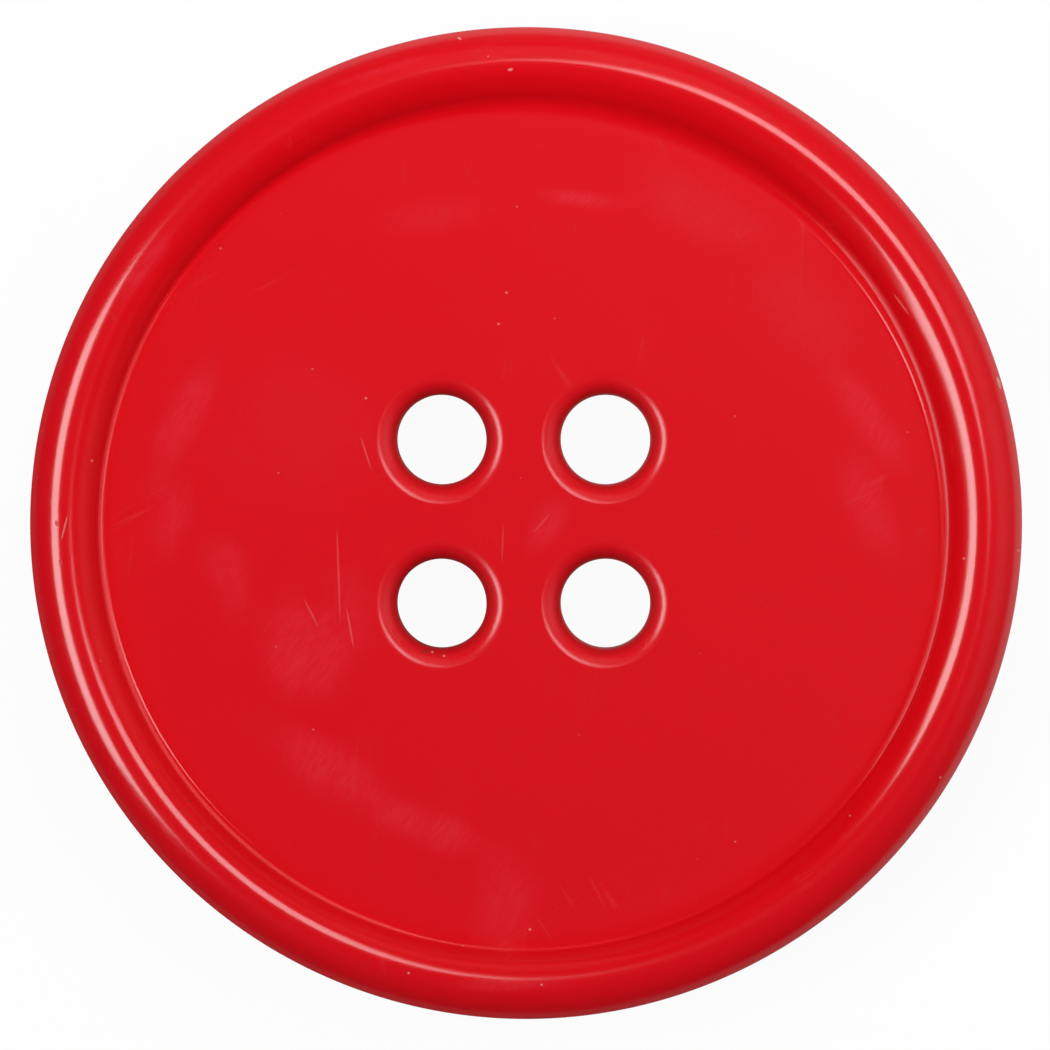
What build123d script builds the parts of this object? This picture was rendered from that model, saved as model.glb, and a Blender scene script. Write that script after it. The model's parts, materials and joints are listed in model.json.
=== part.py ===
"""A four-hole sew-through button with a raised, rounded rim, turned in one piece.

Millimetres, +Z up. The origin is the centre of the flat back, which lies on Z = 0,
and the sunk face looks up. The four thread holes stand on a square set along X and Y.
"""

import os
from math import asin, cos, degrees, radians

from build123d import *

# The blank.
outer_diameter = 25.4
total_thickness = 3.5
back_bevel_width = 2.0  # the bevel round the back, measured in from the side
back_bevel_height = 0.9

# The raised rim. Its crown is one arc, from the shoulder where it meets the side,
# over the crest and down into the dish.
crown_radius = 1.04
shoulder_angle = 26.6  # of the shoulder above level, seen from the arc's centre
dish_depth = 0.5  # from the crest down to the sunk face
foot_radius = 0.18  # the hollow corner where the crown meets the sunk face

# The thread holes.
hole_diameter = 2.3
hole_pitch = 4.2
lip_radius = 0.5  # each hole's rounded mouth in the sunk face
back_countersink = 0.25  # and its eased edge in the back

# Sizes that follow from those above.
side_radius = outer_diameter / 2
face_height = total_thickness - dish_depth
crest_radius = side_radius - crown_radius * cos(radians(shoulder_angle))
crown_centre = (crest_radius, total_thickness - crown_radius)
foot_angle = 180 - degrees(asin((crown_radius - dish_depth) / crown_radius))

with BuildPart() as button:
    # Half of the section, from the axis out along the back, up the side,
    # over the crown and in along the sunk face.
    with BuildSketch(Plane.XZ) as section:
        with BuildLine():
            crown = CenterArc(
                crown_centre, crown_radius, shoulder_angle, foot_angle - shoulder_angle
            )
            Polyline(
                crown @ 0,
                (side_radius, back_bevel_height),
                (side_radius - back_bevel_width, 0),
                (0, 0),
                (0, face_height),
                crown @ 1,
            )
        make_face()
        foot = section.vertices().sort_by_distance(crown @ 1)[0]
        fillet(foot, foot_radius)
    revolve(axis=Axis.Z)

    with GridLocations(hole_pitch, hole_pitch, 2, 2):
        Hole(hole_diameter / 2)
    mouths = button.edges(Select.LAST).filter_by(GeomType.CIRCLE).group_by(Axis.Z)
    fillet(mouths[-1], lip_radius)
    chamfer(mouths[0], back_countersink)

button.part.label = "button"

os.makedirs("parts", exist_ok=True)
export_step(button.part, "parts/button.step")
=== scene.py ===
"""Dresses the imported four-hole button in polished red resin and stages it.

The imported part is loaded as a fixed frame. One piece, the moulding, stands for its
only node: the same turned form, with softened edges, the fine witness line round the
sunk face and a finish that shows handling. Lengths on the button are in millimetres.
Meshes, the floor, the lamps and the camera are in metres.
"""

import json
import logging
from dataclasses import dataclass, field
from enum import Enum
from typing import Mapping, Sequence, Union

import bmesh
import bpy
import numpy as np
from mathutils import Matrix, Vector

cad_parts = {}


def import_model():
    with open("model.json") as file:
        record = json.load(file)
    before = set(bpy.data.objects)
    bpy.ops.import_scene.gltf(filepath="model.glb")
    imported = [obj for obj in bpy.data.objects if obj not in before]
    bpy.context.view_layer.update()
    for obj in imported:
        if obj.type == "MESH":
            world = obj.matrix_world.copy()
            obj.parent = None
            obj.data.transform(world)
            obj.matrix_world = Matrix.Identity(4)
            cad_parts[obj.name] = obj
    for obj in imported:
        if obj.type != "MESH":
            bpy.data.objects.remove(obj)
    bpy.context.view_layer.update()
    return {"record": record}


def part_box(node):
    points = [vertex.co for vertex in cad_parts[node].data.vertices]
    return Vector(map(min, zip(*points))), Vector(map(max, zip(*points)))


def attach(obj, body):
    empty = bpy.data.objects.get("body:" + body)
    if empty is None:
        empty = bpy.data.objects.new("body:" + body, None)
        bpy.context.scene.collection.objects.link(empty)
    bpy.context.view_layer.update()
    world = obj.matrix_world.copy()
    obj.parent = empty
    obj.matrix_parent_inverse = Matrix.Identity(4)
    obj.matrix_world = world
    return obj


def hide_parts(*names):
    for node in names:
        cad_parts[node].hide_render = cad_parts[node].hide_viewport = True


MM = 0.001
LOG = logging.getLogger("button")
Array = np.ndarray
Point2 = tuple[float, float]
Colour = tuple[float, float, float]


# Shader maths.


class Reading:
    """A number in a material's graph; arithmetic on it adds Math nodes."""

    def __init__(self, graph: "Graph", socket: bpy.types.NodeSocket) -> None:
        """Wraps a socket.

        Args:
            graph: The graph that new nodes go into.
            socket: The output that gives the number.
        """
        self.graph = graph
        self.socket = socket

    def _math(self, operation: str, *terms: "Term") -> "Reading":
        """One Math node over the terms, in their order."""
        return self.graph.read("ShaderNodeMath", {"operation": operation}, dict(enumerate(terms)))

    def __add__(self, other: "Term") -> "Reading":
        """This number plus another."""
        return self._math("ADD", self, other)

    __radd__ = __add__

    def __sub__(self, other: "Term") -> "Reading":
        """This number less another."""
        return self._math("SUBTRACT", self, other)

    def __rsub__(self, other: "Term") -> "Reading":
        """Another number less this one."""
        return self._math("SUBTRACT", other, self)

    def __mul__(self, other: "Term") -> "Reading":
        """This number times another."""
        return self._math("MULTIPLY", self, other)

    __rmul__ = __mul__

    def __truediv__(self, other: "Term") -> "Reading":
        """This number over another."""
        return self._math("DIVIDE", self, other)

    def larger(self, other: "Term") -> "Reading":
        """The larger of this number and another."""
        return self._math("MAXIMUM", self, other)

    def distance_from(self, level: float) -> "Reading":
        """How far this number is from a level, without its sign."""
        return self._math("ABSOLUTE", self - level)

    def rise(self, start: float, end: float) -> "Reading":
        """0 at start, 1 at end, smooth between them and level beyond.

        Args:
            start: The value of this number that gives 0.
            end: The value that gives 1, which may be below start.

        Returns:
            The smooth step.
        """
        if start > end:
            return 1.0 - self.rise(end, start)
        settings = {"interpolation_type": "SMOOTHSTEP"}
        return self.graph.read(
            "ShaderNodeMapRange", settings, {"Value": self, "From Min": start, "From Max": end}
        )


Term = Union[float, Reading]


class Graph:
    """The nodes of one material or world."""

    def __init__(self, owner: Union[bpy.types.Material, bpy.types.World]) -> None:
        """Turns nodes on and clears them.

        Args:
            owner: What the nodes belong to.
        """
        owner.use_nodes = True
        self.tree = owner.node_tree
        self.tree.nodes.clear()

    def node(
        self, kind: str, settings: Mapping[str, object], inputs: Mapping[Union[int, str], object]
    ) -> bpy.types.Node:
        """Adds a node of any kind.

        Args:
            kind: Blender's name for the kind of node.
            settings: The node's own settings, which are set first.
            inputs: A value, a reading or an output for each input that isn't left alone.

        Returns:
            The node.
        """
        node = self.tree.nodes.new(kind)
        for name, value in settings.items():
            setattr(node, name, value)
        for name, value in inputs.items():
            if isinstance(value, Reading):
                value = value.socket
            if isinstance(value, bpy.types.NodeSocket):
                self.tree.links.new(value, node.inputs[name])
            else:
                node.inputs[name].default_value = value
        return node

    def read(
        self, kind: str, settings: Mapping[str, object], inputs: Mapping[Union[int, str], object],
        output: Union[int, str] = 0,
    ) -> Reading:
        """Adds a node and reads a number from one of its outputs.

        Args:
            kind: Blender's name for the kind of node.
            settings: The node's own settings.
            inputs: Its inputs, as for node().
            output: The output's name or index.

        Returns:
            The output as a reading.
        """
        return Reading(self, self.node(kind, settings, inputs).outputs[output])

    def place(self) -> bpy.types.NodeSocket:
        """Where a point is on the piece, in millimetres."""
        metres = self.node("ShaderNodeTexCoord", {}, {}).outputs["Object"]
        return self.scaled(metres, 1 / MM)

    def scaled(self, vector: bpy.types.NodeSocket, factor: float) -> bpy.types.NodeSocket:
        """A vector times a number."""
        inputs = {0: vector, "Scale": factor}
        return self.node("ShaderNodeVectorMath", {"operation": "SCALE"}, inputs).outputs[0]

    def in_oval(
        self, place: bpy.types.NodeSocket, centre: Point2, size: Point2, turn: float = 0.0
    ) -> Reading:
        """How far a point is from an oval's centre: 0 there and 1 at its edge.

        The place is moved by the centre, turned back and divided by the two half sizes,
        and the length of what is left is the reading. Height plays no part.

        Args:
            place: The point, in millimetres.
            centre: The oval's centre.
            size: Its two half sizes.
            turn: Degrees from +X to the first half size.

        Returns:
            The distance in half sizes.
        """
        inputs = {
            "Vector": place,
            "Location": (centre[0], centre[1], 0.0),
            "Rotation": (0.0, 0.0, np.radians(turn)),
            "Scale": (size[0], size[1], 1.0e6),
        }
        local = self.node("ShaderNodeMapping", {"vector_type": "TEXTURE"}, inputs).outputs[0]
        return self.read("ShaderNodeVectorMath", {"operation": "LENGTH"}, {0: local}, "Value")

    def noise(self, place: bpy.types.NodeSocket, grain: float, detail: float = 2.0) -> Reading:
        """Smooth noise about 0.5.

        Args:
            place: Where to read it, in millimetres.
            grain: The size of its lumps, in millimetres.
            detail: How many finer layers it has.

        Returns:
            The noise.
        """
        inputs = {"Vector": place, "Scale": 1 / grain, "Detail": detail}
        return self.read("ShaderNodeTexNoise", {}, inputs, "Fac")

    def stretched(
        self, place: bpy.types.NodeSocket, turn: float, along: float
    ) -> bpy.types.NodeSocket:
        """The place with one direction drawn out.

        Args:
            place: The point, in millimetres.
            turn: Degrees from +X to the direction.
            along: How many times longer a pattern becomes along it.

        Returns:
            The place that a pattern reads.
        """
        inputs = {
            "Vector": place,
            "Rotation": (0.0, 0.0, np.radians(turn)),
            "Scale": (along, 1.0, 1.0),
        }
        return self.node("ShaderNodeMapping", {"vector_type": "TEXTURE"}, inputs).outputs[0]

    def blend(self, share: Term, first: object, second: object) -> bpy.types.NodeSocket:
        """A colour between two.

        A Mix node has inputs for numbers and vectors too. Its two colours are inputs 6
        and 7, and its mixed colour is output 2.

        Args:
            share: 0 for the first, 1 for the second.
            first: A colour or an output.
            second: A colour or an output.

        Returns:
            The mixed colour.
        """
        inputs = {
            "Factor": share,
            6: (*first, 1.0) if isinstance(first, tuple) else first,
            7: (*second, 1.0) if isinstance(second, tuple) else second,
        }
        return self.node("ShaderNodeMix", {"data_type": "RGBA"}, inputs).outputs[2]


# Finish.


class Hue(Enum):
    """The colours of the resin, of what marks it and of the shade painted into the bores, in
    linear light.
    """

    RESIN = (0.71, 0.0022, 0.0065)
    DEEPER = (0.68, 0.002, 0.006)
    RUBBED = (0.70, 0.0045, 0.0108)
    HAZE = (0.72, 0.020, 0.035)
    # Painted shade: the bores and the inside of their mouths are darkened as if in shade.
    BORE_SHADE = (0.55, 0.002, 0.005)
    CHALK = (0.80, 0.45, 0.40)
    BRUISE = (0.30, 0.02, 0.015)
    BARE = (0.75, 0.42, 0.30)


@dataclass(frozen=True)
class Smear:
    """A patch of handling haze: an oval with soft edges."""

    centre: Point2
    size: Point2
    turn: float
    strength: float


@dataclass(frozen=True)
class Nick:
    """A small mark in the surface: an oval or, when thin, a scratch."""

    centre: Point2
    size: Point2
    turn: float
    hue: Hue
    strength: float = 1.0

    def within(self, graph: Graph, place: bpy.types.NodeSocket) -> Reading:
        """1 inside the mark and 0 outside, with a soft edge.

        Args:
            graph: The graph that the nodes go into.
            place: The point, in millimetres.

        Returns:
            The mark's share of the point.
        """
        return graph.in_oval(place, self.centre, self.size, self.turn).rise(1.0, 0.6)


SMEARS = (
    # Down the left of the face and round its lower left.
    Smear((-8.8, 2.6), (2.1, 0.6), 66.0, 0.65),
    Smear((-9.1, 0.2), (1.2, 0.6), 75.0, 0.5),
    Smear((-7.6, -1.3), (1.3, 0.7), 110.0, 0.5),
    Smear((-5.7, -3.3), (1.7, 1.2), 115.0, 0.75),
    Smear((-4.6, -2.2), (1.4, 0.8), 100.0, 0.4),
    Smear((-5.0, -6.3), (2.1, 0.8), -33.0, 0.7),
    Smear((-2.6, -7.8), (1.8, 0.6), -20.0, 0.7),
    Smear((-0.6, -9.6), (1.5, 0.9), 90.0, 0.55),
    # Along the top and down the right.
    Smear((-2.4, 7.9), (1.7, 0.5), 8.0, 0.4),
    Smear((1.4, 8.3), (1.2, 0.25), -7.0, 0.9),
    Smear((4.5, 8.0), (2.0, 1.0), -25.0, 0.4),
    Smear((7.1, 5.3), (1.7, 1.2), -50.0, 0.35),
    Smear((8.7, 2.8), (1.8, 0.5), -55.0, 0.65),
    Smear((8.8, 0.4), (1.6, 0.6), -66.0, 0.55),
    # Round the holes.
    Smear((-5.8, 2.4), (2.8, 2.3), 10.0, 0.25),
    Smear((0.6, 0.0), (0.9, 0.5), 55.0, 0.65),
    # Over the rim's crest.
    Smear((-9.7, 6.6), (1.5, 0.25), 54.0, 0.7),
    Smear((-3.6, 11.6), (1.5, 0.15), 17.0, 0.8),
    Smear((-0.6, -11.8), (1.8, 0.2), 0.0, 0.7),
)

SPECK_SIZE = (0.04, 0.035)

# Where specks of dust have left pale pits.
SPECKS = (
    (-2.4, -3.3), (-2.1, -3.4), (11.2, -0.9), (12.6, -0.7), (-0.5, 5.9), (-0.7, 5.1),
    (-4.1, 3.2), (-3.0, -11.5), (0.4, -11.8), (0.1, -10.4), (10.6, -6.5), (-11.1, 1.6),
)

NICKS = (
    # Scratches on the face.
    Nick((-4.8, -1.3), (1.4, 0.03), -88.0, Hue.CHALK, 0.1),
    Nick((-4.5, -2.7), (0.6, 0.03), -80.0, Hue.CHALK, 0.13),
    Nick((-5.5, -2.3), (0.5, 0.03), -63.0, Hue.CHALK, 0.1),
    Nick((-4.1, 1.8), (0.5, 0.03), -72.0, Hue.CHALK, 0.12),
    Nick((0.4, 0.0), (0.4, 0.03), 48.0, Hue.CHALK, 0.08),
    Nick((-0.6, -0.5), (0.6, 0.03), 88.0, Hue.CHALK, 0.06),
    Nick((9.6, 5.6), (0.4, 0.03), -54.0, Hue.CHALK, 0.2),
    # The rim's scratch and its chip.
    Nick((-11.8, -0.1), (0.35, 0.03), 76.0, Hue.BARE, 0.25),
    Nick((12.1, 3.6), (0.2, 0.05), 106.0, Hue.BARE, 0.6),
    # Dents in the rim's crest.
    Nick((-12.0, 0.0), (0.07, 0.04), 100.0, Hue.RESIN, 0.8),
    Nick((-11.9, -1.0), (0.08, 0.04), 98.0, Hue.RESIN, 0.8),
    # Marks by the holes and on the rim.
    Nick((-2.6, -3.3), (0.15, 0.05), 12.0, Hue.BRUISE, 0.7),
    Nick((2.0, 1.0), (0.1, 0.03), 2.0, Hue.BRUISE, 0.7),
    Nick((-8.6, -7.1), (0.05, 0.04), 0.0, Hue.BRUISE, 0.6),
    Nick((-1.7, 12.4), (0.07, 0.03), 150.0, Hue.CHALK, 0.6),
    Nick((-0.4, 11.6), (0.08, 0.04), 10.0, Hue.CHALK, 0.5),
) + tuple(Nick(spot, SPECK_SIZE, 0.0, Hue.CHALK, 0.4) for spot in SPECKS)


@dataclass(frozen=True)
class Side:
    """A side of the button: its direction from above, and the cosines it fades between."""

    direction: Point2
    fade: Point2

    def reached(self, graph: Graph, place: bpy.types.NodeSocket, radius: Reading) -> Reading:
        """1 on this side and 0 on the others.

        Args:
            graph: The graph that the nodes go into.
            place: The point.
            radius: Its distance from the middle, in the same unit.

        Returns:
            The side's share of the point.
        """
        east = graph.read("ShaderNodeSeparateXYZ", {}, {0: place}, "X")
        north = graph.read("ShaderNodeSeparateXYZ", {}, {0: place}, "Y")
        along = east * self.direction[0] + north * self.direction[1]
        return (along / radius).rise(*self.fade)


@dataclass(frozen=True)
class RedResin:
    """Polished red resin with haze, hairlines, specks, a few nicks and shade painted into the
    bores.

    Each polish is a roughness, and each dulling is what a mark adds to it. A tone is how
    far a mark blends the colour. Lengths, heights and depths are in millimetres.
    """

    polish: float = 0.14
    worn_polish: float = 0.23
    foot_polish: float = 0.4
    mouth_polish: float = 0.25
    bore_polish: float = 0.6
    haze_dulling: float = 0.04
    hair_dulling: float = 0.08
    dent_dulling: float = 0.3
    grain_dulling: float = 0.03
    hair_tone: float = 0.05
    speck_tone: float = 0.25
    swell_height: float = 0.0016
    grain_height: float = 0.00012
    dent_depth: float = 0.012
    refraction: float = 1.58
    worn_above: Point2 = (1.6, 2.2)
    dish_centre: Point2 = (0.0, 0.0)
    holes_centre: Point2 = (0.0, 0.0)
    foot_band: Point2 = (10.79, 10.95)
    foot_left: Side = Side((-0.94, -0.34), (0.5, 0.75))
    foot_right: Side = Side((1.0, 0.09), (0.72, 0.9))
    crown_start: float = 11.9
    hole_offset: float = 2.1
    bore_radius: float = 1.15
    mouth_radius: float = 1.65
    smears: Sequence[Smear] = SMEARS
    nicks: Sequence[Nick] = NICKS

    def make(self) -> bpy.types.Material:
        """Builds the material.

        Returns:
            The material, which reads Object coordinates only.
        """
        material = bpy.data.materials.new("polished_red_resin")
        graph = Graph(material)
        place = graph.place()
        height = graph.read("ShaderNodeSeparateXYZ", {}, {0: place}, "Z")
        upper = height.rise(*self.worn_above)

        haze = self._haze(graph, place) * upper
        foot = self._foot(graph, place) * upper
        crown = self._crown(graph, place) * upper
        mouth, bore = self._holes(graph, place)
        hairs = self._hairs(graph, place)
        mottle = graph.noise(place, 5.0, 3.0)

        colour = graph.blend(mottle.rise(0.35, 0.65), Hue.RESIN.value, Hue.DEEPER.value)
        colour = graph.blend(self._rubbed(graph, place) * upper, colour, Hue.RUBBED.value)
        colour = graph.blend(haze, colour, Hue.HAZE.value)
        colour = graph.blend(hairs * self.hair_tone, colour, Hue.CHALK.value)
        # Painted shade: the bores and the inner mouths round them are blended darker.
        colour = graph.blend(bore, colour, Hue.BORE_SHADE.value)
        speck = self._specks(graph, place)
        colour = graph.blend(speck * self.speck_tone, colour, Hue.CHALK.value)
        for nick in self.nicks:
            inside = nick.within(graph, place) * upper * nick.strength
            colour = graph.blend(inside, colour, nick.hue.value)
        dents: Term = 0.0
        for nick in self.nicks:
            if nick.hue in (Hue.BARE, Hue.RESIN):
                dents = nick.within(graph, place) + dents

        grain = graph.noise(place, 0.12)
        scuffed = crown * graph.noise(place, 0.07, 1.0).rise(0.48, 0.6)
        polish = self.polish + scuffed * (self.worn_polish - self.polish)
        polish = polish + foot * (self.foot_polish - self.polish)
        polish = polish + mouth * (self.mouth_polish - self.polish)
        polish = polish + bore * (self.bore_polish - self.mouth_polish)
        polish = polish + haze * self.haze_dulling + hairs * self.hair_dulling
        polish = polish + dents * upper * self.dent_dulling + (grain - 0.5) * self.grain_dulling

        relief = graph.noise(place, 2.6, 1.0) * self.swell_height + grain * self.grain_height
        relief = relief - dents * self.dent_depth
        bump = graph.node(
            "ShaderNodeBump", {}, {"Strength": 1.0, "Distance": MM, "Height": relief}
        )
        surface = graph.node(
            "ShaderNodeBsdfPrincipled", {},
            {
                "Base Color": colour,
                "Roughness": polish,
                "IOR": self.refraction,
                "Normal": bump.outputs[0],
            },
        )
        graph.node("ShaderNodeOutputMaterial", {}, {"Surface": surface.outputs[0]})
        return material

    def _haze(self, graph: Graph, place: bpy.types.NodeSocket) -> Reading:
        """Where handling has dulled the surface, from 0 to 1: soft ovals with broken edges."""
        cloud = graph.noise(place, 1.1, 4.0)
        total: Term = 0.0
        for smear in self.smears:
            oval = graph.in_oval(place, smear.centre, smear.size, smear.turn)
            total = (oval + (cloud - 0.5) * 0.9).rise(1.2, 0.2) * smear.strength + total
        streaks = graph.noise(graph.stretched(place, 55.0, 4.0), 0.09, 1.0).rise(0.2, 0.8)
        return total * (streaks * 0.7 + 0.3)

    def _foot(self, graph: Graph, place: bpy.types.NodeSocket) -> Reading:
        """The hollow corner round the sunk face, left dull to the left and to the right."""
        radius = graph.in_oval(place, self.dish_centre, (1.0, 1.0))
        inner, outer = self.foot_band
        band = radius.rise(inner - 0.03, inner + 0.03) * radius.rise(outer + 0.04, outer - 0.04)
        left = self.foot_left.reached(graph, place, radius)
        right = self.foot_right.reached(graph, place, radius)
        return band * left.larger(right)

    def _rubbed(self, graph: Graph, place: bpy.types.NodeSocket) -> Reading:
        """Where cloth has rubbed the gloss: the sunk face and the rim outside its crest."""
        dish = graph.in_oval(place, self.dish_centre, (1.0, 1.0))
        rim = graph.in_oval(place, (0.0, 0.0), (1.0, 1.0))
        inner, outer = self.foot_band[0], self.crown_start
        return dish.rise(inner, inner - 0.4).larger(rim.rise(outer - 0.7, outer))

    def _crown(self, graph: Graph, place: bpy.types.NodeSocket) -> Reading:
        """The outer fall of the rim, which rubs first: worn more in some places."""
        radius = graph.in_oval(place, (0.0, 0.0), (1.0, 1.0))
        patches = graph.noise(place, 1.8, 3.0)
        start = self.crown_start
        return radius.rise(start - 0.1, start + 0.3) * patches.rise(0.25, 0.75)

    def _holes(self, graph: Graph, place: bpy.types.NodeSocket) -> tuple[Reading, Reading]:
        """The rounded mouths and the bores of the thread holes, which stay duller; the bores also
        carry painted shade.

        The place is moved to the square's centre and folded into one quarter, so one
        distance serves all four holes.
        """
        offset = {0: place, 1: (*self.holes_centre, 0.0)}
        moved = graph.node("ShaderNodeVectorMath", {"operation": "SUBTRACT"}, offset)
        folded = graph.node(
            "ShaderNodeVectorMath", {"operation": "ABSOLUTE"}, {0: moved.outputs[0]}
        )
        centre = (self.hole_offset, self.hole_offset)
        radius = graph.in_oval(folded.outputs[0], centre, (1.0, 1.0))
        mouth = radius.rise(self.mouth_radius + 0.05, self.mouth_radius - 0.12)
        # The second share dulls the bores and also darkens their colour as painted shade, 0.3 mm
        # out over the mouth.
        return mouth, radius.rise(self.bore_radius + 0.3, self.bore_radius - 0.02)

    def _hairs(self, graph: Graph, place: bpy.types.NodeSocket) -> Reading:
        """Hairline scratches: the thin level lines of long-drawn noise, in three directions."""
        total: Term = 0.0
        for turn, along in ((84.0, 60.0), (28.0, 50.0), (-58.0, 55.0)):
            drawn = graph.noise(graph.stretched(place, turn, along), 0.35, 0.0)
            keep = graph.noise(place, 1.7).rise(0.54, 0.66)
            total = drawn.distance_from(0.5).rise(0.012, 0.0) * keep + total
        return total * 0.35

    def _specks(self, graph: Graph, place: bpy.types.NodeSocket) -> Reading:
        """Pin-prick specks: the middles of a few cells of a random net of cells."""
        settings = {"voronoi_dimensions": "3D"}
        cells = graph.node("ShaderNodeTexVoronoi", settings, {"Vector": place, "Scale": 1.3})
        rare = graph.read("ShaderNodeSeparateColor", {}, {0: cells.outputs["Color"]})
        near = Reading(graph, cells.outputs["Distance"]).rise(0.045, 0.025)
        return near * rare.rise(0.66, 0.7)


# The shape.


def arc(centre: Point2, radius: float, start: float, end: float, count: int) -> Array:
    """Points along an arc, in (r, z): the centre plus the radius at evenly spaced angles.

    Args:
        centre: The arc's centre.
        radius: Its radius.
        start: Degrees from +r to its first point.
        end: Degrees from +r to its last point.
        count: How many points it gets.

    Returns:
        The arc's points, count by 2.
    """
    angle = np.radians(np.linspace(start, end, count))
    return np.array(centre) + radius * np.stack([np.cos(angle), np.sin(angle)], axis=-1)


def line(start: Point2, end: Point2, count: int) -> Array:
    """Evenly spaced points from one point to another, both among them."""
    share = np.linspace(0.0, 1.0, count)[:, None]
    return np.array(start) * (1 - share) + np.array(end) * share


def rounded(before: Point2, corner: Point2, after: Point2, radius: float, count: int) -> Array:
    """The arc that rounds a corner.

    Its centre is on the line that halves the corner, as far out as makes the arc touch
    both sides, and its points turn evenly from one side to the other.

    Args:
        before: A point on the side that comes in.
        corner: The corner.
        after: A point on the side that goes out.
        radius: The arc's radius.
        count: How many points it gets.

    Returns:
        The arc's points, count by 2.
    """
    knee = np.array(corner)
    back, on = np.array(before) - knee, np.array(after) - knee
    back, on = back / np.linalg.norm(back), on / np.linalg.norm(on)
    half = np.arccos(np.clip(back @ on, -1, 1)) / 2
    middle = (back + on) / np.linalg.norm(back + on)
    centre = knee + middle * radius / np.sin(half)
    touch = radius / np.tan(half)
    first, last = knee + back * touch - centre, knee + on * touch - centre
    share = np.linspace(0.0, 1.0, count)[:, None]
    sweep = np.pi - 2 * half
    turned = np.sin((1 - share) * sweep) * first + np.sin(share * sweep) * last
    return centre + turned / np.sin(sweep)


def smooth(value: Array, start: float, end: float) -> Array:
    """0 at start, 1 at end, and 3t^2 - 2t^3 between."""
    share = np.clip((value - start) / (end - start), 0.0, 1.0)
    return share * share * (3 - 2 * share)


class Skin:
    """Grids of points that together close one smooth mesh."""

    def __init__(self) -> None:
        """Starts with no points."""
        self.points: list[Array] = []
        self.quads: list[Array] = []
        self.count = 0

    def add(self, grid: Array) -> None:
        """Adds one grid whose columns run round and close on themselves.

        The columns go anticlockwise about the axis they surround and the rows go
        outwards on an upward face, so every quad is listed anticlockwise from outside.

        Args:
            grid: Points in millimetres, rows by columns by 3.
        """
        rows, columns = grid.shape[:2]
        index = np.arange(rows * columns).reshape(rows, columns) + self.count
        onward = np.roll(index, -1, axis=1)
        quads = np.stack([index[:-1], index[1:], onward[1:], onward[:-1]], axis=-1)
        self.points.append(grid.reshape(-1, 3))
        self.quads.append(quads.reshape(-1, 4))
        self.count += rows * columns

    def piece(self, name: str, material: bpy.types.Material) -> bpy.types.Object:
        """Makes the mesh, in metres, and welds the grids where they meet.

        Args:
            name: The piece's name.
            material: What it wears.

        Returns:
            The new object, at the origin.
        """
        mesh = bpy.data.meshes.new(name)
        points = np.concatenate(self.points) * MM
        mesh.from_pydata(points, [], np.concatenate(self.quads).tolist())
        work = bmesh.new()
        work.from_mesh(mesh)
        bmesh.ops.remove_doubles(work, verts=work.verts, dist=1.0e-7)
        bmesh.ops.recalc_face_normals(work, faces=work.faces)
        work.to_mesh(mesh)
        work.free()
        mesh.shade_smooth()
        mesh.materials.append(material)
        made = bpy.data.objects.new(name, mesh)
        bpy.context.scene.collection.objects.link(made)
        return made


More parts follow.
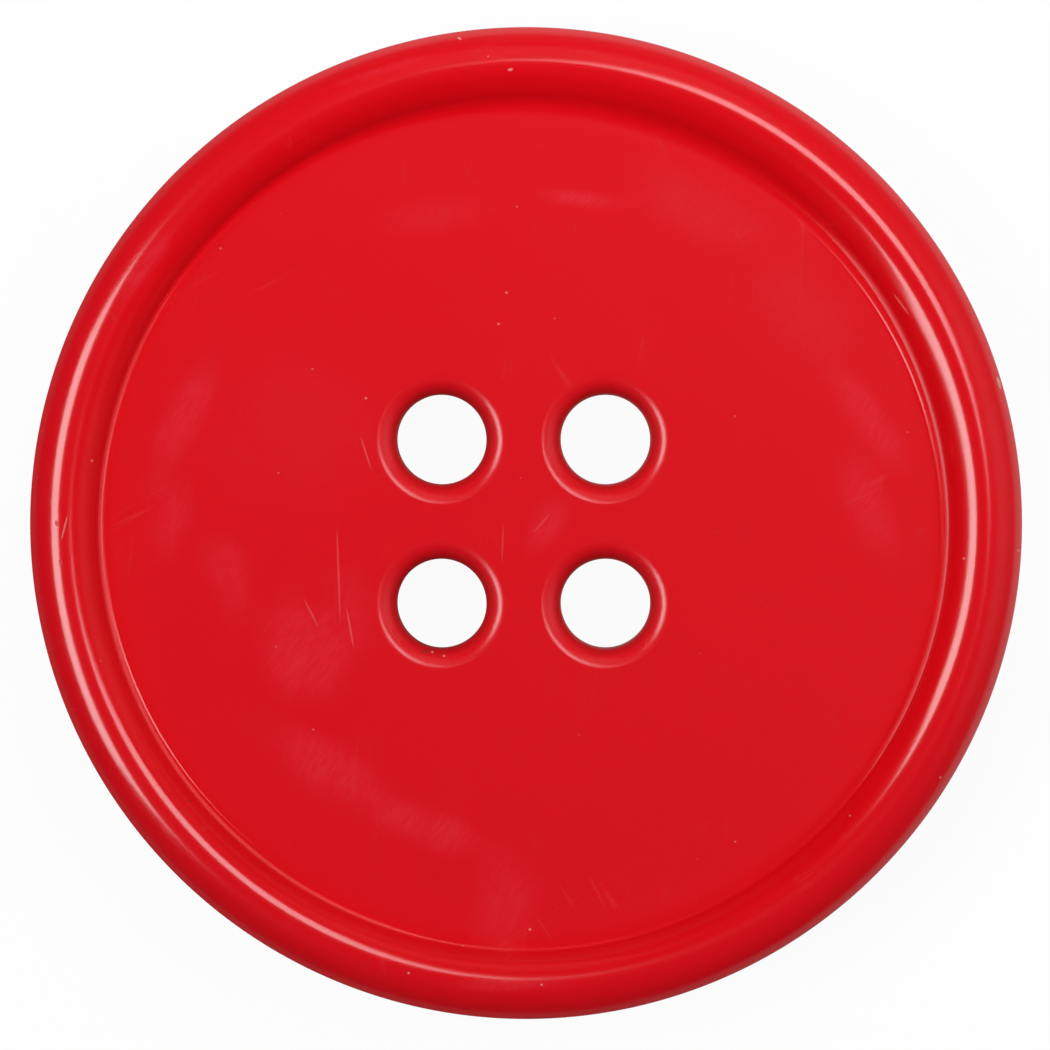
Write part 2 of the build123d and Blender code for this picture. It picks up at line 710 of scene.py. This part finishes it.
@dataclass
class Moulding:
    """The whole button: rim, sunk face, thread holes and back, as one closed skin."""

    side: float
    thickness: float
    hole_radius: float
    half_pitch: float
    crown: float = 1.04
    shoulder_angle: float = 26.6
    shoulder_rounding: float = 0.14
    dish_depth: float = 0.5
    foot: float = 0.1
    lip: float = 0.5
    bevel_width: float = 2.0
    bevel_height: float = 0.9
    bevel_rounding: float = 0.5
    heel_rounding: float = 1.5
    countersink: float = 0.25
    sink_rounding: float = 0.12
    bore_rounding: float = 0.2
    witness_height: float = 0.01
    witness_width: float = 0.08
    witness_gaps: Point2 = (0.13, 0.05)
    dish_shift: Point2 = (-0.06, -0.072)
    hole_shift: Point2 = (-0.067, 0.032)
    soft_foot: float = 0.7
    soft_azimuth: float = 75.0
    face_margin: float = 1.45
    back_margin: float = 0.6
    shift_fade: Point2 = (0.85, 0.4)
    arc_columns: int = 96
    ray_columns: int = 48
    crest: float = field(init=False)
    face: float = field(init=False)

    def __post_init__(self) -> None:
        """Works out the crest's radius and the face's height.

        The crown's arc meets the side at the shoulder's angle above level, so the crest
        lies in from the side by the crown's radius times the cosine of that angle.
        """
        self.crest = self.side - self.crown * np.cos(np.radians(self.shoulder_angle))
        self.face = self.thickness - self.dish_depth

    @property
    def face_edge(self) -> float:
        """The circle where the face's patches give way to the rim's rows."""
        return self.crest - self.face_margin

    @property
    def back_edge(self) -> float:
        """The circle where the back's patches give way to the rim's rows."""
        return self.side - self.bevel_width - self.back_margin

    def rim_section(self, foot: float, witness_height: float, gap: float) -> Array:
        """Half of the rim's section, from the face outwards, over and in along the back.

        The hollow corner touches the face and the crown's circle from outside, so its
        centre is the two radii away from the crown's. The shoulder touches the crown's
        circle from inside and the side. Between them the crown is one arc. The witness
        line is a low ridge on the face's edge with straight flanks.

        Args:
            foot: The radius of the hollow corner.
            witness_height: How far the witness line stands up.
            gap: How far the witness line lies in from the hollow corner.

        Returns:
            Points (r, z) in millimetres, rows by 2.
        """
        centre = np.array([self.crest, self.thickness - self.crown])
        foot_z = self.face + foot
        reach = self.crown + foot
        foot_r = centre[0] - np.sqrt(reach**2 - (foot_z - centre[1]) ** 2)
        inner = np.degrees(np.arctan2(foot_z - centre[1], foot_r - centre[0]))

        shoulder = self.shoulder_rounding
        level = self.side - shoulder - centre[0]
        shoulder_z = centre[1] + np.sqrt((self.crown - shoulder) ** 2 - level**2)
        outer = np.degrees(np.arctan2(shoulder_z - centre[1], level))

        knee = (self.side, self.bevel_height)
        heel = (self.side - self.bevel_width, 0.0)
        top = (self.side, shoulder_z)
        edge = (self.back_edge, 0.0)
        half, ease = self.witness_width / 2, 0.002
        middle = foot_r - gap
        knots = np.array([-half, 0.0, half])
        near = (middle + knots[:, None] + np.array([-ease, ease])).ravel()
        inward = np.linspace(self.face_edge, middle - 2 * half, 8)
        radii = np.concatenate([inward, near, [foot_r]])
        flat = np.stack([radii, np.full_like(radii, self.face)], axis=-1)
        flat[:, 1] += witness_height * np.clip(1 - np.abs(radii - middle) / half, 0, 1)
        return np.concatenate([
            flat,
            arc((foot_r, foot_z), foot, -90.0, inner - 180.0, 10)[1:],
            arc(tuple(centre), self.crown, inner, outer, 56)[1:],
            arc((self.side - shoulder, shoulder_z), shoulder, outer, 0.0, 8)[1:],
            rounded(top, knee, heel, self.bevel_rounding, 9),
            rounded(knee, heel, edge, self.heel_rounding, 7),
            line((edge[0] + 0.2, 0.0), edge, 2),
        ])

    def rim(self) -> Array:
        """The rim's section carried round the axis, at the azimuths of the face's patches.

        The hollow corner is softer on one side. There the section goes over to one with a
        larger hollow and no witness line, by the sixth power of half of one plus the
        cosine of the angle from that side. The witness line shows most to the left and
        right, by the cube of the cosine. The sunk face and the inner wall stand a little
        off the axis, which fades out towards the crest.

        Returns:
            Points in millimetres, rows by columns by 3.
        """
        right, left = (
            self.rim_section(self.foot, self.witness_height, gap) for gap in self.witness_gaps
        )
        plain = self.rim_section(self.foot, 0.0, self.witness_gaps[0])
        soft = self.rim_section(self.soft_foot, 0.0, self.witness_gaps[0])
        azimuth = np.linspace(0.0, 2 * np.pi, 4 * self.arc_columns, endpoint=False)
        shown = np.abs(np.cos(azimuth))[None, :, None] ** 3
        to_right = np.cos(azimuth)[None, :, None] > 0
        witnessed = np.where(to_right, right[:, None], left[:, None])
        crisp = plain[:, None] * (1 - shown) + witnessed * shown
        turn = azimuth - np.radians(self.soft_azimuth)
        share = ((1 + np.cos(turn)) / 2)[None, :, None] ** 6
        section = crisp * (1 - share) + soft[:, None] * share
        radius, height = section[..., 0], section[..., 1]
        begin, end = self.shift_fade
        weight = 1 - smooth(radius, self.crest - begin, self.crest - end)
        # The rows from the crest outwards stay on the axis.
        weight[int(np.argmax(plain[:, 1])):] = 0.0
        return np.stack([
            radius * np.cos(azimuth) + weight * self.dish_shift[0],
            radius * np.sin(azimuth) + weight * self.dish_shift[1],
            height,
        ], axis=-1)

    def border(self) -> tuple[Array, Array]:
        """The border of one quadrant and the direction in which its hole looks at each point.

        The border is a quarter of the unit circle, then the line back to the centre along
        +Y and the line out along +X. Its points on the circle are evenly spaced, and those
        on the lines are where rays at even angles from the hole meet them.

        Returns:
            The border's points for a unit circle, and the angles in radians.
        """
        offset = self.half_pitch / self.face_edge
        low = -np.arctan2(offset, 1 - offset)
        high = np.pi / 2 - low
        along = np.linspace(0.0, np.pi / 2, self.arc_columns, endpoint=False)
        on_arc = np.stack([np.cos(along), np.sin(along)], axis=-1)
        arc_angle = np.linspace(low, high, self.arc_columns, endpoint=False)
        upright = np.linspace(high, 5 * np.pi / 4, self.ray_columns, endpoint=False)
        level = np.linspace(5 * np.pi / 4, 2 * np.pi + low, self.ray_columns, endpoint=False)
        on_y = np.stack([0 * upright, offset - offset * np.tan(upright)], axis=-1)
        on_x = np.stack([offset - offset / np.tan(level), 0 * level], axis=-1)
        on_y[0] = (0.0, 1.0)
        on_x[0] = (0.0, 0.0)
        return np.concatenate([on_arc, on_y, on_x]), np.concatenate([arc_angle, upright, level])

    def hole_section(self) -> Array:
        """A thread hole's section, from the back up the wall and over its rounded mouth."""
        bore, sink = self.hole_radius, self.hole_radius + self.countersink
        out = (sink + 0.5, 0.0)
        return np.concatenate([
            rounded(out, (sink, 0.0), (bore, self.countersink), self.sink_rounding, 5),
            rounded(
                (sink, 0.0), (bore, self.countersink), (bore, self.face), self.bore_rounding, 5
            ),
            line((bore, 0.5), (bore, self.face - self.lip), 6),
            arc((bore + self.lip, self.face - self.lip), self.lip, 180.0, 90.0, 15)[1:],
        ])

    def quadrant(self, mirror_x: bool, mirror_y: bool) -> Array:
        """The quarter of the face and back round one thread hole, with the hole's wall.

        Rows run in along the back to the hole, up its section and out along the face.
        Along the face and back each column is the straight line from the hole's circle
        to the quadrant's border. On the face the rows crowd towards the hole, by the power
        1.5 of their even share of the way.

        Args:
            mirror_x: Whether this quarter lies at negative X.
            mirror_y: Whether it lies at negative Y.

        Returns:
            Points in millimetres, rows by columns by 3.
        """
        border, angle = self.border()
        ray = np.stack([np.cos(angle), np.sin(angle)], axis=-1)
        centre = np.array([self.half_pitch, self.half_pitch])
        section = self.hole_section()
        wall = centre + section[:, None, :1] * ray
        wall_z = np.broadcast_to(section[:, 1:], wall.shape[:2])
        sides = np.array([-1.0 if mirror_x else 1.0, -1.0 if mirror_y else 1.0])
        wall = wall * sides + np.array(self.hole_shift)
        share = (np.linspace(0.0, 1.0, 24)[1:] ** 1.5)[:, None, None]
        rim = border * self.face_edge * sides
        face = wall[-1] * (1 - share) + (rim + np.array(self.dish_shift)) * share
        back_share = np.linspace(1.0, 0.0, 9)[:-1, None, None]
        back = wall[0] * (1 - back_share) + border * self.back_edge * sides * back_share
        flat = np.concatenate([back, wall, face])
        height = np.concatenate([
            np.zeros(back.shape[:2]),
            wall_z,
            np.full(face.shape[:2], self.face),
        ])
        grid = np.concatenate([flat, height[..., None]], axis=-1)
        return grid[:, ::-1] if mirror_x != mirror_y else grid

    def build(self, material: bpy.types.Material) -> bpy.types.Object:
        """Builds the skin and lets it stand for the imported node.

        Args:
            material: The resin.

        Returns:
            The piece.
        """
        skin = Skin()
        skin.add(self.rim())
        for mirror_x in (False, True):
            for mirror_y in (False, True):
                skin.add(self.quadrant(mirror_x, mirror_y))
        piece = skin.piece("moulding", material)
        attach(piece, "root")
        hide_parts("button")
        return piece


# The staging.


@dataclass(frozen=True)
class SoftLamp:
    """A rectangular soft lamp that faces the button.

    Its azimuth, its angle from straight above and the two angles that it covers are in
    degrees, and its distance is in metres.
    """

    name: str
    azimuth: float
    zenith: float
    tall: float
    wide: float
    radiance: float
    tint: Colour
    distance: float = 0.4
    in_gloss: bool = True

    def make(self) -> bpy.types.Object:
        """Hangs the lamp, sized to cover its two angles as seen from the button.

        Returns:
            The lamp.
        """
        light = bpy.data.lights.new(self.name, "AREA")
        light.shape = "RECTANGLE"
        light.size = 2 * self.distance * np.tan(np.radians(self.wide / 2))
        light.size_y = 2 * self.distance * np.tan(np.radians(self.tall / 2))
        light.energy = self.radiance * np.pi * light.size * light.size_y
        light.color = self.tint
        lamp = bpy.data.objects.new(self.name, light)
        azimuth, zenith = np.radians(self.azimuth), np.radians(self.zenith)
        aim = Vector((
            np.sin(zenith) * np.cos(azimuth), np.sin(zenith) * np.sin(azimuth), np.cos(zenith)
        ))
        wide = Vector((-np.sin(azimuth), np.cos(azimuth), 0.0))
        turn = Matrix((wide, aim.cross(wide), aim)).transposed().to_4x4()
        lamp.matrix_world = Matrix.Translation(aim * self.distance) @ turn
        lamp.visible_camera = False
        lamp.visible_glossy = self.in_gloss
        bpy.context.scene.collection.objects.link(lamp)
        return lamp


@dataclass
class Studio:
    """The pale floor, the surroundings, the lamps and the camera.

    The photograph's side and the outline's radius and centre in it are in pixels. The
    aim's height, the button's radius (side) and the floor's drop are in millimetres.
    """

    photo_side: int = 1050
    photo_radius: float = 494.98
    outline_pixel: Point2 = (526.22, 522.79)
    camera_tilt: Point2 = (0.0042, 0.0092)
    camera_distance: float = 0.45
    aim_height: float = 1.9
    sensor: float = 36.0
    side: float = 12.7
    floor_reach: float = 1.5
    floor_drop: float = 0.01
    floor_white: float = 0.95
    footprint: Point2 = (0.0126, 0.0124)
    lit_side: Side = Side((0.8, 0.6), (-0.75, 0.85))
    room_glow: float = 0.015
    horizon_glow: float = 0.13
    slope_glow: float = 0.05
    under_glow: float = 0.7
    room_scale: float = 0.8
    lamps: Sequence[SoftLamp] = (
        SoftLamp("left_softbox", 183.6, 34.4, 19.0, 37.0, 6.8, (0.95, 1.0, 1.0)),
        SoftLamp("overhead_softbox", 46.5, 14.2, 14.0, 15.0, 5.4, (0.95, 1.0, 1.0), 0.8),
        SoftLamp("left_fill", 184.0, 35.0, 30.0, 30.0, 1.0, (1.0, 1.0, 1.0), 0.4, False),
        SoftLamp("north_fill", 80.0, 39.0, 30.0, 30.0, 3.95, (1.0, 1.0, 1.0), 0.07, False),
        SoftLamp("east_fill", 8.0, 52.0, 40.0, 40.0, 2.25, (1.0, 1.0, 1.0), 0.4, False),
    )

    def floor(self) -> bpy.types.Object:
        """A wide pale floor under the button, as a grid of points at one height.

        Returns:
            The floor.
        """
        count = 5
        reach = np.linspace(-self.floor_reach, self.floor_reach, count)
        across, along = np.meshgrid(reach, reach, indexing="ij")
        height = 0 * across - self.floor_drop * MM
        points = np.stack([across, along, height], axis=-1).reshape(-1, 3)
        index = np.arange(count**2).reshape(count, count)
        quads = np.stack([index[:-1, :-1], index[1:, :-1], index[1:, 1:], index[:-1, 1:]], axis=-1)
        mesh = bpy.data.meshes.new("floor")
        mesh.from_pydata(points, [], quads.reshape(-1, 4).tolist())
        mesh.materials.append(self.paper())
        floor = bpy.data.objects.new("floor", mesh)
        bpy.context.scene.collection.objects.link(floor)
        return floor

    def paper(self) -> bpy.types.Material:
        """White paper that the camera sees as white, with a trace of the shadow.

        The gloss mirrors it darker: brightest on the lit side and near the button. It is
        open from below, and open under the button to the light that surfaces scatter.

        Returns:
            The material.
        """
        material = bpy.data.materials.new("white_paper")
        graph = Graph(material)
        plain = graph.node("ShaderNodeBsdfDiffuse", {}, {"Color": (0.8, 0.8, 0.8, 1.0)})
        bright = graph.node("ShaderNodeEmission", {}, {"Strength": 1.0})
        dark = graph.node("ShaderNodeEmission", {}, {"Strength": 0.0})
        path = graph.node("ShaderNodeLightPath", {}, {})
        metres = graph.node("ShaderNodeTexCoord", {}, {}).outputs["Object"]
        away = graph.read("ShaderNodeVectorMath", {"operation": "LENGTH"}, {0: metres}, "Value")
        lit = self.lit_side.reached(graph, metres, away.larger(0.001))
        near = away.rise(0.05, 0.02)
        shine = lit * 0.5 + near * (lit * 0.12 + 0.13)
        gloss = graph.node(
            "ShaderNodeMixShader", {}, {0: shine, 1: dark.outputs[0], 2: bright.outputs[0]}
        )
        seen = Reading(graph, path.outputs["Is Camera Ray"]) * self.floor_white
        direct = graph.node(
            "ShaderNodeMixShader", {}, {0: seen, 1: plain.outputs[0], 2: bright.outputs[0]}
        )
        mirrored = Reading(graph, path.outputs["Is Glossy Ray"])
        mixed = graph.node(
            "ShaderNodeMixShader", {}, {0: mirrored, 1: direct.outputs[0], 2: gloss.outputs[0]}
        )
        under = Reading(graph, graph.node("ShaderNodeNewGeometry", {}, {}).outputs["Backfacing"])
        hidden = away.rise(*self.footprint) * Reading(graph, path.outputs["Is Diffuse Ray"])
        clear = graph.node("ShaderNodeBsdfTransparent", {}, {"Color": (1.0, 1.0, 1.0, 1.0)})
        open_floor = graph.node(
            "ShaderNodeMixShader", {},
            {0: under.larger(hidden), 1: mixed.outputs[0], 2: clear.outputs[0]},
        )
        graph.node("ShaderNodeOutputMaterial", {}, {"Surface": open_floor.outputs[0]})
        return material

    def surroundings(self) -> None:
        """A white surround for the camera, and a dim room for the button.

        The room is paler towards one side, most at the horizon and a little on the slope
        above it, and pale from below.
        """
        world = bpy.data.worlds.new("room")
        bpy.context.scene.world = world
        graph = Graph(world)
        direction = graph.node("ShaderNodeTexCoord", {}, {}).outputs["Generated"]
        split = graph.node("ShaderNodeSeparateXYZ", {}, {0: direction})
        east, north, up = (Reading(graph, split.outputs[axis]) for axis in "XYZ")
        horizon = up.rise(0.5, 0.1)
        slope = up.rise(0.97, 0.85)
        under = up.rise(-0.1, -0.6)
        toward = (east * 0.7 + north * 0.7).rise(-0.3, 1.1)
        room = self.room_glow + toward * (horizon * self.horizon_glow + slope * self.slope_glow)
        room = (room + under * self.under_glow) * self.room_scale
        camera = Reading(graph, graph.node("ShaderNodeLightPath", {}, {}).outputs[0])
        strength = room + camera * (1.0 - room)
        white = (1.0, 1.0, 1.0, 1.0)
        inputs = {"Color": white, "Strength": strength}
        background = graph.node("ShaderNodeBackground", {}, inputs)
        graph.node("ShaderNodeOutputWorld", {}, {"Surface": background.outputs[0]})

    def camera(self) -> bpy.types.Object:
        """The camera above the button, at the photograph's angle and framing.

        Returns:
            The camera.
        """
        back = Vector((*self.camera_tilt, 0.0))
        back.z = np.sqrt(1 - back.length_squared)
        right = (Vector((1, 0, 0)) - back * back.x).normalized()
        up = back.cross(right)
        pixel = self.side * MM / self.photo_radius
        centre = self.photo_side / 2
        off_x = (centre - self.outline_pixel[0]) * pixel
        off_y = (self.outline_pixel[1] - centre) * pixel
        aim = Vector((0, 0, self.aim_height * MM)) + right * off_x + up * off_y
        lens = bpy.data.cameras.new("camera")
        lens.sensor_width = self.sensor
        lens.lens = self.sensor * self.camera_distance / (self.photo_side * pixel)
        lens.clip_start = 0.01
        lens.clip_end = 10.0
        camera = bpy.data.objects.new("camera", lens)
        turn = Matrix((right, up, back)).transposed().to_4x4()
        camera.matrix_world = Matrix.Translation(aim + back * self.camera_distance) @ turn
        bpy.context.scene.collection.objects.link(camera)
        bpy.context.scene.camera = camera
        return camera

    def build(self) -> None:
        """Sets out the floor, the surroundings, the lamps and the camera."""
        self.floor()
        self.surroundings()
        for lamp in self.lamps:
            lamp.make()
            LOG.info("lamp %s", lamp.name)
        self.camera()
        bpy.context.scene.view_settings.view_transform = "Standard"


def main() -> None:
    """Loads the frame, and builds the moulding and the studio."""
    logging.basicConfig(level=logging.INFO, format="%(name)s: %(message)s")
    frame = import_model()
    low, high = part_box("button")
    holes = [mount for mount in frame["record"]["mounts"] if mount["kind"] == "bore"]
    first = holes[0]
    moulding = Moulding(
        side=(high.x - low.x) / 2 / MM,
        thickness=(high.z - low.z) / MM,
        hole_radius=first["dims"]["r_mm"],
        half_pitch=abs(first["pos_m"][0]) / MM,
    )
    resin = RedResin(dish_centre=moulding.dish_shift, holes_centre=moulding.hole_shift)
    piece = moulding.build(resin.make())
    LOG.info("piece %s, %d quads", piece.name, len(piece.data.polygons))
    Studio(side=moulding.side).build()


if __name__ == "__main__":
    main()
